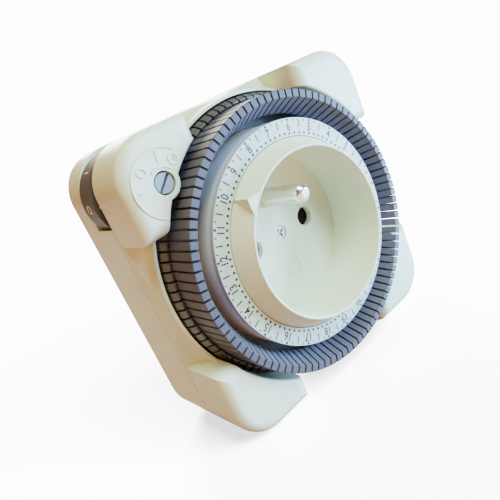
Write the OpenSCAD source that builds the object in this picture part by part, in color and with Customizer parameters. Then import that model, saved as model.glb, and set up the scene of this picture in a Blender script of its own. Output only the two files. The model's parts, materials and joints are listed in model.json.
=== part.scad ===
// Mechanical 24-hour plug-in timer switch with a pin-earth socket.
// Every sub-part is drawn in a working frame: x to the right, y up and z out of
// the wall, with z = 0 on the face of the plug. upright() then turns the model
// so that the wall lies towards +Y, the dial faces -Y and +Z points up.

/* [Housing] */
// Flat strip between the round lip and the side of the housing
side_margin = 0.8; // [0.5:0.05:1.5]
// Corner radius of the housing, seen from the front
corner_r = 10; // [8.5:0.1:11]
// Wall thickness of both housings
wall = 2; // [1.6:0.1:2.2]
// Floor thickness of the rear housing
floor_t = 2.2; // [1.8:0.1:2.6]
// Depth of the rear housing behind the seam
rear_h = 17; // [16.8:0.1:20]
// Rounding of the rear edge
back_edge_r = 1.5; // [0.8:0.1:2]
// Height of the corner pads above the seam
pad_h = 14.2; // [13.6:0.1:15]
// Rounding of the outer top edge of the pads
pad_edge_r = 2.7; // [2:0.1:4]
// Rounding of the ends of the pads
pad_end_r = 3; // [2:0.1:3.5]
// Opening between two neighbouring pads
pad_gap = 32.6; // [28:0.1:36]
// Height of the straight ledge above the seam
ledge_h = 0.9; // [0.6:0.1:1.4]
// Height of the round lip between the pads above the seam
lip_h = 6.9; // [6:0.1:7.4]
// Width of the round lip
lip_w = 0.7; // [0.5:0.1:1]
// Depth and height of the shadow groove along the seam
seam_groove = 0.3; // [0.2:0.05:0.5]
// Thickness of the deck between the dial and the mechanism
deck_t = 1.6; // [1.4:0.1:1.8]
// Gap between the dial and the round well of the housing
dial_gap = 0.55; // [0.4:0.05:0.8]

/* [Plug] */
// Distance from the axis of a pin to the edge of the round plug body
pin_edge = 9; // [8.4:0.1:9.6]
// Height of the plug body behind the housing
boss_h = 16; // [14:0.1:18]
// Wall of the plug body
boss_wall = 4; // [3.6:0.1:4.2]
// Thickness of the plug face
boss_face_t = 3; // [2.4:0.1:4]
// Diameter of a plug pin
pin_d = 4.8; // [4:0.1:5]
// Length of a plug pin in front of the plug face
pin_len = 19; // [17:0.1:21]
// How much thinner the pin is inside the plug face, on each side
pin_shoulder = 0.5; // [0.3:0.1:0.8]
// Distance between the two pins, and between the two contact holes
pin_pitch = 19; // [18.6:0.1:19.4]
// Offset of the earth pin and the earth receptacle from the centre
earth_offset = 10; // [9.8:0.1:10.4]
// Width of the guide notches in the sides of the plug body
notch_w = 5.4; // [4.5:0.1:6]
// Depth of the guide notches
notch_depth = 2.2; // [1.5:0.1:2.6]

/* [Socket] */
// Inner diameter of the socket recess
recess_d = 39.4; // [39:0.1:39.6]
// Depth of the socket recess
recess_depth = 15.5; // [15:0.1:16]
// Height of the collar's rim above the seam
rim_h = 21.5; // [21.3:0.1:22.5]
// Wall of the collar where it passes through the dial
collar_wall = 1.7; // [1.5:0.05:1.9]
// Width of the collar's cone at the scale, measured from the recess
cone_w = 3.05; // [2.9:0.05:3.3]
// Width of the rim at the top of the cone
rim_w = 0.75; // [0.6:0.05:1]
// Thickness of the socket floor
socket_floor_t = 2; // [1.8:0.1:2.2]
// Diameter of the contact holes
contact_hole_d = 5.1; // [5:0.1:5.6]
// Diameter of the earth pin of the socket
earth_pin_d = 4.8; // [4.6:0.1:5]
// Height of the earth pin above the socket floor
earth_pin_h = 14.3; // [13:0.1:15]
// Angle of the pointer, anticlockwise from the right
pointer_angle = 135; // [120:1:150]

/* [Dial] */
// Width of the printed scale ring
scale_w = 4.15; // [3.8:0.05:4.4]
// Gap between the drum of the scale and the tappets
drum_gap = 1.9; // [1.6:0.05:2.2]
// Depth of a tappet along the radius
tappet_depth = 4.45; // [4.2:0.05:4.8]
// Width of the toothed ledge outside the tappets
teeth_ledge = 1.6; // [1.4:0.05:1.8]
// Height of the tappets' crest above the seam
crest_h = 17.7; // [17:0.1:18.4]
// Travel of a tappet
tappet_travel = 2.4; // [2:0.1:2.5]
// Gap between two tappets
tappet_gap = 0.5; // [0.3:0.05:0.6]
// Height of the base ring's teeth above the seam
teeth_h = 8.9; // [8.2:0.1:9.2]
// Height of the scale's face above the seam
scale_h = 16.4; // [15.8:0.1:16.6]
// Thickness of the scale ring
scale_t = 1.2; // [0.8:0.1:1.4]
// Play of the dial between the deck and the collar
dial_play = 0.2; // [0.15:0.05:0.3]
// Angle of the midnight mark, anticlockwise from the right
midnight_angle = -13.8; // [-15:0.1:-13]

/* [Override switch] */
// Diameter of the override wheel
wheel_d = 20; // [18:0.1:20.4]
// Thickness of the override wheel
wheel_t = 5.8; // [5:0.1:6]
// How far the wheel stands out of the side of the housing
wheel_proud = 0.8; // [0.5:0.05:1]
// Diameter of the slotted shaft
shaft_d = 4.2; // [3.6:0.1:4.4]
// Angle of the shaft's slot, anticlockwise from the right
shaft_slot_angle = 42; // [30:1:60]
// Radius of the pad's lobe round the shaft
lobe_r = 3.75; // [3.4:0.05:4]
// Gap between the wheel and the ends of its slot in the housing
wheel_slot_gap = 0.7; // [0.5:0.1:1]
// Angle that the wheel turns to each side of its middle position
override_angle = 45; // [30:1:50]

/* [Drive] */
// Module of the reduction gears
train_module = 0.48; // [0.46:0.01:0.5]
// Teeth of each large gear in the train
wheel_teeth = 36; // [32:1:37]
// Teeth of each small gear in the train
pinion_teeth = 10; // [9:1:11]
// Teeth of the dial's internal gear
dial_teeth = 96; // [92:1:100]
// Teeth of the pinion that drives the dial
dial_pinion_teeth = 10; // [9:1:11]
// Thickness of a gear
gear_t = 1.2; // [1:0.1:1.3]

/* [Fits] */
// Radial clearance of parts that turn on each other
running_gap = 0.06; // [0.03:0.01:0.1]
// Clearance of parts that slide in each other
slide_gap = 0.12; // [0.08:0.01:0.2]
// Radial clearance of pins that stay seated
seat_gap = 0.05; // [0.02:0.01:0.1]
// Clear distance between parts that never touch
free_gap = 0.4; // [0.3:0.05:0.5]
// Backlash of the gears at the pitch circle
backlash = 0.14; // [0.08:0.01:0.2]

/* [Hidden] */
NODES = ["rear_housing", "front_housing", "socket_collar", "socket_floor", "socket_screw",
    "earth_pin",
    "shutter", "shutter_spring", "contact_block", "contact_clip_line", "contact_clip_neutral",
    "plug_pin_line", "plug_pin_neutral", "earth_clips", "earth_receptacle", "earth_bridge",
    "busbar_line", "busbar_load", "busbar_neutral", "housing_screws",
    "motor_can", "motor_coil", "motor_rotor", "gear_plate", "gear_shafts",
    "gear_1", "gear_2", "clutch_gear", "dial_pinion", "dial_ring", "dial_scale",
    "switch_lever", "lever_pivot", "moving_contact", "fixed_contact",
    "override_wheel", "detent_spring",
    "tappets_00_02", "tappets_02_04", "tappets_04_06", "tappets_06_08",
    "tappets_08_10", "tappets_10_12", "tappets_12_14", "tappets_14_16",
    "tappets_16_18", "tappets_18_20", "tappets_20_22", "tappets_22_24"];

$fn = 64;
eps = 0.01;

// Radii of the socket and the dial, from the recess outwards
recess_r = recess_d / 2;
collar_r = recess_r + collar_wall;
cone_r = recess_r + cone_w;
scale_in_r = cone_r + 0.2;
drum_r = scale_in_r + scale_w;
tappet_in_r = drum_r + drum_gap;
tappet_r = tappet_in_r + tappet_depth;
base_ring_r = tappet_r + teeth_ledge;
well_r = base_ring_r + dial_gap;
half_w = well_r + lip_w + side_margin;

// Housing levels and outlines
inner_half = half_w - wall;
inner_corner_r = corner_r - wall;
back_z = boss_h;
rear_floor_z = back_z + floor_t;
seam_z = back_z + rear_h;
pad_z = seam_z + pad_h;
ledge_z = seam_z + ledge_h;
lip_z = seam_z + lip_h;
deck_top_z = seam_z + seam_groove + 0.2;
deck_z = deck_top_z - deck_t;
pad_start = pad_gap / 2;
pad_inner_r = 0.8;

// Plug
pin_r = pin_d / 2;
pin_shank_r = pin_r - pin_shoulder;
pin_x = pin_pitch / 2;
boss_r = pin_x + pin_edge;
boss_in_r = boss_r - boss_wall;
pin_in_z = boss_h - 4;
pin_sleeve_r = pin_r + 1.8;
clip_w = 4;
clip_t = 0.8;
clip_recess_w = clip_w + 1.6;
clip_y = boss_r - 2;
clip_bulge = 0.5;

// Strips of the current path
strip_w = 4;
strip_t = 0.8;
bridge_z = rear_floor_z + 1.3;

// Socket
rim_z = seam_z + rim_h;
socket_z = rim_z - recess_depth;
socket_under_z = socket_z - socket_floor_t;
scale_z = seam_z + scale_h;
pointer_h = 5;
pointer_r = cone_r + 0.15;
pointer_base_w = 6.1;
earth_r = earth_pin_d / 2;
earth_tube_r = earth_r + 0.9;
earth_neck = 0.4;
screw_r = 1.2;
screw_head_r = 1.9;
screw_head_h = 1.2;
screw_len = 12;
post_r = 3;

// Block and clips behind the socket
block_r = boss_in_r + 1.6;
block_half_w = boss_in_r + 0.1;
block_t = 1.2;
grip_w = 4.6;
grip_half = 3.1;
grip_t = 0.5;
grip_z = rear_floor_z + block_t;
neutral_riser_x = pin_x + grip_w / 2;
line_riser_x = neutral_riser_x + 0.7;
bus_turn_x = -block_half_w - 0.4;

// Shutter
shutter_t = 1.5;
shutter_w = pin_pitch + contact_hole_d + 1.9;
shutter_z = socket_under_z - slide_gap - shutter_t;
shutter_top_y = contact_hole_d / 2 + 1.05;
shutter_low_y = -contact_hole_d / 2 - 3.45;
shutter_travel = contact_hole_d + 1.5;
shutter_tail = 1.5;
spring_len = 9.7;
spring_stop_y = shutter_low_y - shutter_tail - spring_len;
spring_turns = 5;
spring_wire = 0.35;
spring_r = 0.9;

// Dial
tappet_count = 96;
tappet_pitch = 360 / tappet_count;
tappets_per_node = 8;
crest_z = seam_z + crest_h;
crest_r = tappet_r - 1.85;
tappet_slope = 2;
teeth_z = seam_z + teeth_h;
teeth_w = 1.3;
teeth_in_r = base_ring_r - teeth_w;
dial_z = deck_top_z + dial_play;
flange_z = dial_z + 3.1;
flange_t = 1.8;
flange_top_z = flange_z + flange_t;
tappet_foot_z = flange_z - 0.9;
tappet_head_z = flange_top_z + tappet_travel + free_gap;
stem_t = 1.2;
stem_w = 1.24;
stem_r = tappet_r - stem_t / 2 - 0.15;
sleeve_r = collar_r + running_gap;
sleeve_wall = 1.5;
drum_wall = 1.5;
drum_cap = 1.4;
drum_top_z = scale_z - scale_t;
gear_ring_r = stem_r - stem_t / 2 - 1;
dial_pitch_r = gear_ring_r - 2.3;
dial_module = 2 * dial_pitch_r / dial_teeth;
collar_flange_z = drum_top_z + dial_play;

// Override wheel
wheel_r = wheel_d / 2;
lobe_z = teeth_z + free_gap + 0.3;
lobe_gap = 0.93;
shaft_reach = tappet_r + lobe_gap + lobe_r;
wheel_x = wheel_r - half_w - wheel_proud;
wheel_y = sqrt(shaft_reach * shaft_reach - wheel_x * wheel_x);
wheel_z = deck_z - free_gap - wheel_t;
slot_z = wheel_z - wheel_slot_gap;
slot_below = 5;
slot_beside = 6.9;
shaft_r = shaft_d / 2;
shaft_slot_w = 0.65;
shaft_slot_depth = 1.5;
journal_r = 1.5;
cam_r = 6;
cam_t = 2;
cam_z = wheel_z - cam_t;
shaft_hole_r = shaft_r + free_gap;
index_t = 0.5;
index_proud = 0.25;
index_h = 3;

// Gear train
motor_gap = 0.5;
motor_r = (inner_half - block_half_w) / 2 - motor_gap;
motor_x = inner_half - motor_gap - motor_r;
motor_y = -6;
motor_z = rear_floor_z + 0.2;
layer_gap = 0.4;
layer_step = gear_t + layer_gap;
layer_1_z = deck_z - free_gap - gear_t - 2 * layer_step - 0.3;
layer_2_z = layer_1_z + layer_step;
layer_3_z = layer_2_z + layer_step;
motor_top_z = layer_1_z - 0.8;
motor_h = motor_top_z - motor_z;
motor_wall = 0.8;
rotor_r = 4.4;
axle_r = 0.8;
train_step = train_module * (wheel_teeth + pinion_teeth) / 2 + 0.02;
dial_pinion_pitch_r = dial_module * dial_pinion_teeth / 2;
drive_angle = -80;
drive_r = dial_pitch_r - dial_pinion_pitch_r;
drive_x = drive_r * cos(drive_angle);
drive_y = drive_r * sin(drive_angle);
plate_t = 1;
plate_z = motor_top_z - plate_t;
train_dx = drive_x - motor_x;
train_dy = drive_y - motor_y;
train_span = norm([train_dx, train_dy]);
train_dir = atan2(train_dy, train_dx);
train_run = (train_span - train_step) / 2;
train_side = sqrt(train_step * train_step - train_run * train_run);
gear_1_x = motor_x + train_run * cos(train_dir) - train_side * sin(train_dir);
gear_1_y = motor_y + train_run * sin(train_dir) + train_side * cos(train_dir);
gear_2_x = gear_1_x + train_step * cos(train_dir);
gear_2_y = gear_1_y + train_step * sin(train_dir);
stem_pinion_r = 1.6;

// Switch
finger_angle = midnight_angle + 45 * tappet_pitch;
finger_x = stem_r * cos(finger_angle);
finger_y = stem_r * sin(finger_angle);
finger_t = 0.5;
finger_w = 1.2;
finger_foot_w = 2;
finger_slot_w = 3.6;
finger_slot_len = 4.4;
lever_x = finger_x;
lever_y = -4;
lever_z = rear_floor_z + 5;
lever_w = 4;
lever_h = 2;
lever_nose_y = lever_y - 8;
lever_hub_r = 1.9;
lever_tail = 1.5;
lever_pivot_reach = 2.2;
leaf_t = 0.3;
leaf_w = 4;
leaf_z = lever_z + lever_h / 2 + 0.3;
leaf_y = lever_y - 20;
leaf_end_y = lever_y - 4;
contact_r = 1.3;
contact_h = 0.7;
contact_gap = 1.6;
contact_y = leaf_end_y - 1.6;
fixed_leg_x = bus_turn_x - strip_w - 1.4;
fixed_leg_w = 4.4;

// Screws of the housing
post_split_z = rear_floor_z + 6;
corner_post = half_w - 8.1;
screw_posts = [[corner_post, corner_post], [corner_post, -corner_post],
    [-corner_post, -corner_post], [-13.5, inner_half - 4.1]];
post_body_r = 3;
case_screw_r = 1.3;
case_head_r = 2.6;
case_head_h = 1.2;
case_head_sink = 0.4;
case_screw_len = post_split_z - back_z + 5.8;

// Turns the working frame upright
module upright() {
    rotate([90, 0, 0]) children();
}

module rounded_square(half, r) {
    square([2 * half, 2 * (half - r)], center = true);
    square([2 * (half - r), 2 * half], center = true);
    for (sx = [-1, 1], sy = [-1, 1])
        translate([sx * (half - r), sy * (half - r)]) circle(r);
}

// Half of a section, from the middle out to w and up to h, with a round top edge
module edge_profile(w, h, e) {
    square([w, h - e]);
    square([w - e, h]);
    translate([w - e, h - e]) circle(e);
}

module full_profile(w, h, e) {
    edge_profile(w, h, e);
    mirror([1, 0]) edge_profile(w, h, e);
}

// Square block with round corners and a round top edge
module soft_block(half, r, h, e) {
    straight = 2 * (half - r);
    for (sx = [-1, 1], sy = [-1, 1])
        translate([sx * (half - r), sy * (half - r)])
            rotate_extrude() edge_profile(r, h, e);
    rotate([90, 0, 0]) linear_extrude(straight, center = true) full_profile(half, h, e);
    rotate([90, 0, 90]) linear_extrude(straight, center = true) full_profile(half, h, e);
}

// Involute gears
pressure_angle = 20;
function involute(a) = tan(a) * 180 / PI - a;
function flank_angle(r, base_r, half_angle) = half_angle + involute(pressure_angle)
    - (r > base_r ? involute(acos(base_r / r)) : 0);
function gear_points(m, teeth, tip, root, play, steps) =
    let (pitch_r = m * teeth / 2,
         base_r = pitch_r * cos(pressure_angle),
         half_angle = 90 / teeth - play / 2 / pitch_r * 180 / PI,
         radii = [for (k = [0:steps]) root + (tip - root) * k / steps])
    [for (i = [0:teeth - 1], k = [0:2 * steps + 1])
        let (rising = k <= steps,
             r = rising ? radii[k] : radii[2 * steps + 1 - k],
             a = flank_angle(r, base_r, half_angle),
             angle = i * 360 / teeth + (rising ? -a : a))
        r * [cos(angle), sin(angle)]];

module spur_gear(m, teeth, t, phase) {
    pitch_r = m * teeth / 2;
    rotate(phase) linear_extrude(t)
        polygon(gear_points(m, teeth, pitch_r + 0.85 * m, pitch_r - 1.1 * m, backlash, 2));
}

// Angle that puts a tooth, or with half = 1 a gap, in the given direction
function mesh_phase(direction, teeth, half = 0) = direction + half * 180 / teeth;

// ---------------------------------------------------------------- housings

module wheel_slot() {
    reach = wheel_r + wheel_slot_gap;
    height = seam_z - slot_z + 1;
    translate([-half_w - 1, wheel_y - slot_below, slot_z])
        cube([half_w + 1 + wheel_x + slot_beside, half_w + 1 - wheel_y + slot_below, height]);
    translate([wheel_x, wheel_y, slot_z]) cylinder(r = reach, h = height);
}

module boss() {
    difference() {
        translate([0, 0, back_z + eps]) mirror([0, 0, 1])
            rotate_extrude() edge_profile(boss_r, back_z + eps, 1);
        translate([0, 0, boss_face_t]) cylinder(r = boss_in_r, h = boss_h);
        for (s = [-1, 1]) {
            translate([s * boss_r - notch_depth, -notch_w / 2, -1])
                cube([2 * notch_depth, notch_w, boss_h + 1]);
            translate([-clip_recess_w / 2, s * (clip_y + 1) - 1.1, -1])
                cube([clip_recess_w, 2.2, boss_h + 1]);
        }
    }
    for (s = [-1, 1])
        translate([s * pin_x, 0, boss_face_t - eps]) cylinder(r = pin_sleeve_r, h = pin_in_z - boss_face_t - 1.5);
    translate([0, earth_offset, boss_face_t - eps]) cylinder(r = earth_tube_r + 1.1, h = 6);
}

module rear_housing() {
    color("ivory") upright() difference() {
        union() {
            difference() {
                translate([0, 0, seam_z]) mirror([0, 0, 1])
                    soft_block(half_w, corner_r, rear_h, back_edge_r);
                translate([0, 0, rear_floor_z])
                    linear_extrude(rear_h) rounded_square(inner_half, inner_corner_r);
                wheel_slot();
                translate([0, 0, back_z - 1]) cylinder(r = boss_in_r, h = floor_t + 2);
            }
            boss();
            for (p = screw_posts)
                translate([p[0], p[1], rear_floor_z - eps])
                    cylinder(r = post_body_r, h = post_split_z - rear_floor_z + eps);
            translate([wheel_x, wheel_y, rear_floor_z - eps])
                cylinder(r = journal_r + 1.8, h = 3);
            lever_bearings();
        }
        for (s = [-1, 1]) {
            translate([s * pin_x, 0, -1]) cylinder(r = pin_shank_r + seat_gap, h = boss_h);
            translate([-clip_w / 2 - 0.2, s * (clip_y + clip_t / 2) - clip_t / 2 - 0.2, back_z - 1])
                cube([clip_w + 0.4, clip_t + 0.4, floor_t + 2]);
        }
        translate([0, earth_offset, -1]) cylinder(r = earth_tube_r + seat_gap, h = boss_h);
        translate([wheel_x, wheel_y, rear_floor_z + 0.4])
            cylinder(r = journal_r + running_gap, h = 4);
        for (p = screw_posts) translate([p[0], p[1], back_z - 1]) {
            cylinder(r = case_head_r + 0.4, h = 1 + case_head_h + case_head_sink);
            cylinder(r = case_screw_r + seat_gap, h = rear_h);
        }
    }
}

module lever_bearings() {
    for (s = [-1, 1]) difference() {
        translate([lever_x + s * (lever_w / 2 + 1.4) - 0.8, lever_y - 2, rear_floor_z - eps])
            cube([1.6, 4, lever_z - rear_floor_z + 2.2]);
        translate([lever_x, lever_y, lever_z]) rotate([0, 90, 0])
            cylinder(r = axle_r + seat_gap, h = 20, center = true);
    }
}

// Body that stays between two pads: a round cove cut back to a straight edge
module cove_solid() {
    cove_r = lip_z - ledge_z;
    out_r = well_r + lip_w + cove_r;
    intersection() {
        rotate_extrude($fn = 128) difference() {
            translate([0, seam_z - 1]) square([out_r, lip_z - seam_z + 1]);
            translate([out_r, lip_z]) circle(cove_r);
        }
        rotate([90, 0, 90]) linear_extrude(2 * half_w, center = true)
            polygon([[0, seam_z - 2], [half_w + 2, seam_z - 2], [half_w + 2, ledge_z],
                [half_w, ledge_z], [well_r + lip_w, lip_z], [0, lip_z + 1]]);
    }
}

// Section of the opening between two pads, which flares at its top edges
module gap_profile() {
    flare = pad_start + pad_end_r;
    difference() {
        union() {
            translate([-pad_start, seam_z - 1]) square([pad_gap, pad_h + 2]);
            translate([-flare, pad_z - pad_end_r]) square([2 * flare, pad_end_r + 1]);
        }
        for (s = [-1, 1]) translate([s * flare, pad_z - pad_end_r]) circle(pad_end_r);
    }
}

module side_cut() {
    start = well_r - 5;
    difference() {
        translate([0, half_w + 1, 0]) rotate([90, 0, 0])
            linear_extrude(half_w + 1 - start) gap_profile();
        cove_solid();
    }
}

// Hollow inside a pad, open to the rear
module pad_hollow() {
    start = pad_start + wall;
    difference() {
        intersection() {
            translate([0, 0, deck_z - 1]) linear_extrude(pad_z - wall - deck_z + 1)
                rounded_square(inner_half, inner_corner_r);
            translate([start, start, deck_z - 2]) cube([half_w, half_w, rear_h + pad_h]);
        }
        translate([0, 0, deck_z - 2]) cylinder(r = well_r + wall, h = rear_h + pad_h, $fn = 128);
    }
}

module well() {
    flare_r = well_r + pad_inner_r;
    rotate_extrude($fn = 128) {
        translate([0, deck_top_z]) square([well_r, pad_h]);
        difference() {
            translate([0, pad_z - pad_inner_r]) square([flare_r, pad_h]);
            translate([flare_r, pad_z - pad_inner_r]) circle(pad_inner_r);
        }
    }
}

module front_posts() {
    for (p = screw_posts) {
        top_z = norm(p) > well_r + wall ? pad_z - wall : deck_z;
        translate([p[0], p[1], post_split_z + slide_gap])
            cylinder(r = post_body_r, h = top_z - post_split_z - slide_gap + eps);
    }
}

module front_shell() {
    base_z = seam_z + seam_groove;
    difference() {
        union() {
            translate([0, 0, base_z]) soft_block(half_w, corner_r, pad_z - base_z, pad_edge_r);
            translate([0, 0, seam_z]) linear_extrude(seam_groove + eps)
                rounded_square(half_w - seam_groove, corner_r - seam_groove);
            translate([0, 0, deck_z]) linear_extrude(seam_z - deck_z + eps)
                rounded_square(inner_half - slide_gap, inner_corner_r - slide_gap);
        }
        for (q = [0:3]) rotate(90 * q) side_cut();
        well();
        for (q = [0:3]) rotate(90 * q) pad_hollow();
    }
}

// Raised line beside the wheel that its position is read against
module index_mark() {
    translate([-half_w - index_proud, wheel_y - index_t / 2, seam_z + seam_groove + 0.3])
        cube([index_proud + 0.5, index_t, index_h]);
}

module front_housing() {
    color("ivory") upright() difference() {
        union() {
            front_shell();
            front_posts();
            translate([wheel_x, wheel_y, lobe_z])
                rotate_extrude() edge_profile(lobe_r, pad_z - lobe_z, 0.6);
            index_mark();
        }
        translate([0, 0, deck_z - 1]) cylinder(r = recess_r - 0.9, h = deck_t + 2);
        translate([drive_x, drive_y, deck_z - 1])
            cylinder(r = stem_pinion_r + free_gap, h = deck_t + 2);
        translate([finger_x, finger_y, deck_z - 1]) rotate(finger_angle)
            translate([-finger_slot_w / 2, -finger_slot_len / 2, 0])
                cube([finger_slot_w, finger_slot_len, deck_t + 2]);
        translate([wheel_x, wheel_y, deck_z - 1])
            cylinder(r = shaft_hole_r, h = pad_z);
        for (p = screw_posts) translate([p[0], p[1], post_split_z - 1])
            cylinder(r = case_screw_r + seat_gap, h = case_screw_len + back_z - post_split_z + 1.8);
        for (g = [[gear_1_x, gear_1_y], [gear_2_x, gear_2_y]])
            translate([g[0], g[1], deck_z - 1])
                cylinder(r = axle_r + seat_gap, h = 1 + deck_t / 2);
    }
}

module housing_screws() {
    color("silver") upright() for (p = screw_posts)
        translate([p[0], p[1], back_z + case_head_sink]) difference() {
            union() {
                cylinder(r = case_head_r, h = case_head_h);
                cylinder(r = case_screw_r, h = case_screw_len);
            }
            for (a = [0, 90]) rotate(a) translate([-1.6, -0.35, -1]) cube([3.2, 0.7, 1.9]);
        }
}

// ---------------------------------------------------------------- socket

module pointer() {
    top_r = recess_r + 0.55;
    rotate(pointer_angle) translate([0, 0, rim_z - 0.2 - pointer_h + 0.1])
        linear_extrude(pointer_h)
        polygon([[pointer_r, 0], [top_r - 0.45, pointer_base_w / 2],
            [top_r - 0.45, -pointer_base_w / 2]]);
}

module collar_shell() {
    rim_r = recess_r + rim_w;
    rotate_extrude($fn = 128) difference() {
        polygon([[recess_r, deck_top_z], [collar_r, deck_top_z],
            [collar_r, collar_flange_z], [cone_r, collar_flange_z], [cone_r, scale_z],
            [rim_r, rim_z - rim_w / 2], [rim_r, rim_z], [recess_r, rim_z]]);
        translate([recess_r, rim_z - rim_w / 2]) difference() {
            translate([-1, 0]) square([rim_w + 2, rim_w]);
            translate([rim_w / 2, 0]) circle(rim_w / 2);
        }
    }
}

module shutter_rails() {
    rail_x = shutter_w / 2 + slide_gap;
    rail_w = 1.4;
    rail_len = 20;
    rail_low_y = -14;
    lip = 0.9;
    intersection() {
        union() {
            for (s = [0, 1]) mirror([s, 0, 0]) {
                translate([rail_x, rail_low_y, shutter_z - lip])
                    cube([rail_w, rail_len, socket_under_z - shutter_z + lip + eps]);
                translate([rail_x - 1, rail_low_y, shutter_z - lip])
                    cube([1 + eps, rail_len, lip - slide_gap]);
            }
            translate([-2.5, spring_stop_y - 1.2, shutter_z - lip])
                cube([5, 1.2, socket_under_z - shutter_z + lip + eps]);
        }
        translate([0, 0, shutter_z - 1]) cylinder(r = recess_r - seat_gap, h = recess_depth, $fn = 128);
    }
}

module socket_collar() {
    color("ivory") upright() {
        collar_shell();
        difference() {
            pointer();
            translate([0, 0, socket_z]) cylinder(r = recess_r + rim_w / 2, h = 20, $fn = 128);
        }
    }
}

module socket_floor() {
    mark_r = 2.4;
    color("ivory") upright() difference() {
        union() {
            translate([0, 0, socket_under_z])
                cylinder(r = recess_r, h = socket_floor_t, $fn = 128);
            shutter_rails();
            translate([0, -earth_offset, socket_z - eps]) difference() {
                cylinder(r = mark_r, h = 0.2);
                translate([0, 0, -1]) cylinder(r = mark_r - 0.3, h = 3);
            }
        }
        for (s = [-1, 1]) translate([s * pin_x, 0, socket_under_z - 1])
            cylinder(r = contact_hole_d / 2, h = socket_floor_t + 2);
        translate([0, earth_offset, socket_under_z - 1])
            cylinder(r = earth_r - earth_neck + seat_gap, h = socket_floor_t + 2);
        translate([0, 0, socket_under_z - 1]) cylinder(r = screw_r + seat_gap, h = socket_floor_t + 2);
        translate([0, 0, socket_z - screw_head_h])
            cylinder(r = screw_head_r + seat_gap, h = screw_head_h + 1);
    }
}

module socket_screw() {
    color("silver") upright() difference() {
        union() {
            translate([0, 0, socket_z - screw_head_h]) cylinder(r = screw_head_r, h = 0.9);
            translate([0, 0, socket_z - screw_len])
                cylinder(r = screw_r, h = screw_len - screw_head_h + eps);
        }
        for (a = [0, 90]) rotate(a + 20)
            translate([-1.2, -0.3, socket_z - screw_head_h + 0.3]) cube([2.4, 0.6, 2]);
    }
}

module earth_pin() {
    tip_r = 1.6;
    top_z = socket_z + earth_pin_h;
    foot_z = socket_z + 0.4;
    neck_r = earth_r - earth_neck;
    color("silver") upright() translate([0, earth_offset, 0]) rotate_extrude() {
        translate([0, foot_z]) square([earth_r, top_z - tip_r - foot_z]);
        translate([0, top_z - tip_r]) intersection() {
            union() {
                square([earth_r - tip_r, tip_r]);
                translate([earth_r - tip_r, 0]) circle(tip_r);
            }
            square([earth_r, tip_r]);
        }
        translate([0, socket_under_z]) square([neck_r, foot_z - socket_under_z]);
        translate([0, socket_under_z - 0.8]) square([neck_r + 1.2, 0.8]);
        translate([0, bridge_z + strip_t]) square([1.6, socket_under_z - bridge_z - strip_t]);
    }
}

module shutter() {
    slot = post_r + free_gap;
    color("gainsboro") upright() translate([0, 0, shutter_z]) intersection() {
        difference() {
            union() {
                translate([-shutter_w / 2, shutter_low_y, 0])
                    cube([shutter_w, shutter_top_y - shutter_low_y, shutter_t]);
                translate([-1.4, shutter_low_y - shutter_tail, 0])
                    cube([2.8, shutter_tail + eps, shutter_t]);
            }
            translate([-slot, -slot, -1]) cube([2 * slot, 20, shutter_t + 2]);
        }
        translate([0, shutter_travel, -1]) cylinder(r = recess_r - free_gap, h = shutter_t + 2, $fn = 128);
    }
}

// Round wire bent into a coil along y
function coil_points(length, r, turns, wire, sides, per_turn) =
    [for (i = [0:turns * per_turn], s = [0:sides - 1])
        let (a = i * 360 / per_turn, b = s * 360 / sides,
             ring = r + wire / 2 * cos(b))
        [ring * cos(a), length * i / (turns * per_turn) + wire / 2 * sin(b), ring * sin(a)]];
function coil_faces(rings, sides) = concat(
    [[for (s = [0:sides - 1]) s]],
    [for (i = [0:rings - 2], s = [0:sides - 1])
        [i * sides + s, (i + 1) * sides + s, (i + 1) * sides + (s + 1) % sides]],
    [for (i = [0:rings - 2], s = [0:sides - 1])
        [i * sides + s, (i + 1) * sides + (s + 1) % sides, i * sides + (s + 1) % sides]],
    [[for (s = [sides - 1:-1:0]) (rings - 1) * sides + s]]);

module coil(length, r, turns, wire) {
    sides = 6;
    per_turn = 10;
    polyhedron(coil_points(length, r, turns, wire, sides, per_turn),
        coil_faces(turns * per_turn + 1, sides));
}

module shutter_spring() {
    length = spring_len - 2 * slide_gap - spring_wire;
    color("silver") upright()
        translate([0, spring_stop_y + slide_gap + spring_wire / 2, shutter_z + shutter_t / 2])
            coil(length, spring_r - spring_wire / 2 - 0.05, spring_turns, spring_wire);
}

module contact_block() {
    color("dimgray") upright() difference() {
        union() {
            translate([0, 0, rear_floor_z]) intersection() {
                cylinder(r = block_r, h = block_t);
                translate([-block_half_w, -block_r, 0]) cube([2 * block_half_w, 2 * block_r, block_t]);
            }
            translate([0, 0, rear_floor_z]) cylinder(r = post_r, h = socket_under_z - rear_floor_z);
        }
        translate([0, 0, socket_z - screw_len - 1]) cylinder(r = screw_r + seat_gap, h = 20);
        translate([0, earth_offset, rear_floor_z - 1])
            cylinder(r = earth_tube_r + seat_gap, h = block_t + 2);
        for (x = [-line_riser_x - strip_t, neutral_riser_x])
            translate([x - 0.2, -strip_w / 2 - 0.2, rear_floor_z - 1])
                cube([strip_t + 0.4, strip_w + 0.4, block_t + 2]);
    }
}

// Spring clip that grips a pin between two leaves
module contact_clip() {
    top_z = shutter_z - 1;
    neck_z = grip_z + 9;
    grip = 1.9;
    side = grip_half - grip_t;
    rotate([90, 0, 90]) linear_extrude(grip_w, center = true)
        polygon([[-grip_half, grip_z], [grip_half, grip_z], [grip_half, neck_z - 3],
            [grip + grip_t, neck_z], [grip_half, top_z], [side, top_z], [grip, neck_z],
            [side, neck_z - 3], [side, grip_z + grip_t], [-side, grip_z + grip_t],
            [-side, neck_z - 3], [-grip, neck_z], [-side, top_z],
            [-grip_half, top_z], [-grip - grip_t, neck_z], [-grip_half, neck_z - 3]]);
}

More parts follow.
